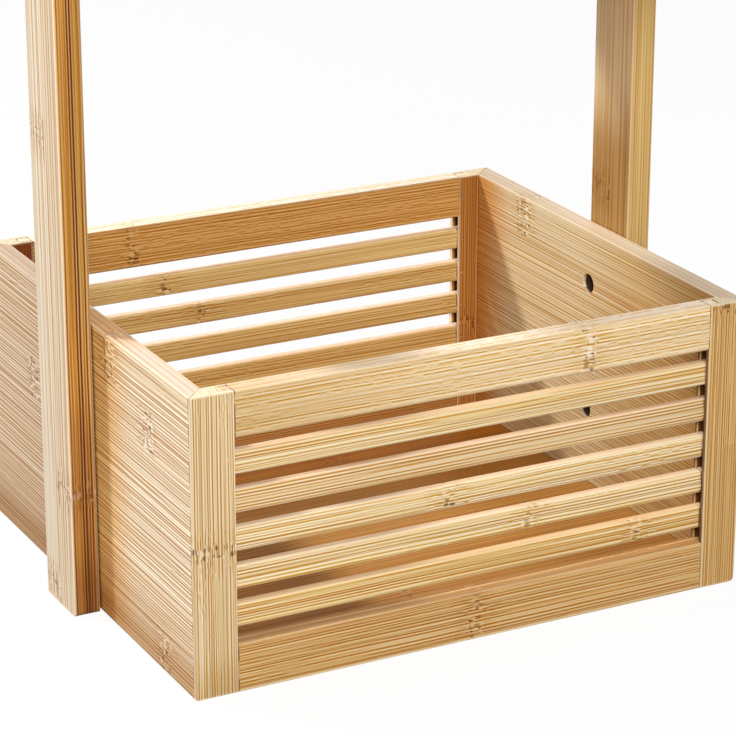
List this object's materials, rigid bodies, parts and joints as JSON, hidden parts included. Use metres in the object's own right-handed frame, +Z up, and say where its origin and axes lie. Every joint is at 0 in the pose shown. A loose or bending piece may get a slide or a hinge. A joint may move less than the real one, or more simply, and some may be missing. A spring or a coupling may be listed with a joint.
{
  "type": "bathroom shelf",
  "caption": "Free-standing bathroom shelf of laminated bamboo: two open slatted baskets, one above the other, bolted between two flat uprights.",
  "frame": {"origin": "on the floor, in the middle of the footprint", "axes": "+Z up; the front frames face -Y; left, seen from the front, is -X"},
  "size_m": [0.3658, 0.289, 0.57],
  "materials": {
    "bamboo": "clear matte lacquer on laminated bamboo",
    "bolt_steel": "bright zinc plate",
    "insert_steel": "zinc plate",
    "pin_steel": "bare bright wire"
  },
  "bodies": {
    "root": {"lower_left_side": "bamboo", "lower_right_side": "bamboo", "lower_floor": "bamboo", "lower_front_left_stile": "bamboo", "lower_front_right_stile": "bamboo", "lower_front_top_rail": "bamboo", "lower_front_bottom_rail": "bamboo", "lower_front_slat_1": "bamboo", "lower_front_slat_2": "bamboo", "lower_front_slat_3": "bamboo", "lower_front_slat_4": "bamboo", "lower_front_slat_5": "bamboo", "lower_rear_left_stile": "bamboo", "lower_rear_right_stile": "bamboo", "lower_rear_top_rail": "bamboo", "lower_rear_bottom_rail": "bamboo", "lower_rear_slat_1": "bamboo", "lower_rear_slat_2": "bamboo", "lower_rear_slat_3": "bamboo", "lower_rear_slat_4": "bamboo", "lower_rear_slat_5": "bamboo", "upper_left_side": "bamboo", "upper_right_side": "bamboo", "upper_floor": "bamboo", "upper_front_left_stile": "bamboo", "upper_front_right_stile": "bamboo", "upper_front_top_rail": "bamboo", "upper_front_bottom_rail": "bamboo", "upper_front_slat_1": "bamboo", "upper_front_slat_2": "bamboo", "upper_front_slat_3": "bamboo", "upper_front_slat_4": "bamboo", "upper_front_slat_5": "bamboo", "upper_rear_left_stile": "bamboo", "upper_rear_right_stile": "bamboo", "upper_rear_top_rail": "bamboo", "upper_rear_bottom_rail": "bamboo", "upper_rear_slat_1": "bamboo", "upper_rear_slat_2": "bamboo", "upper_rear_slat_3": "bamboo", "upper_rear_slat_4": "bamboo", "upper_rear_slat_5": "bamboo", "left_upright": "bamboo", "right_upright": "bamboo", "basket_bolts": "bolt_steel", "upright_inserts": "insert_steel", "frame_pins": "pin_steel"}
  },
  "joints": []
}
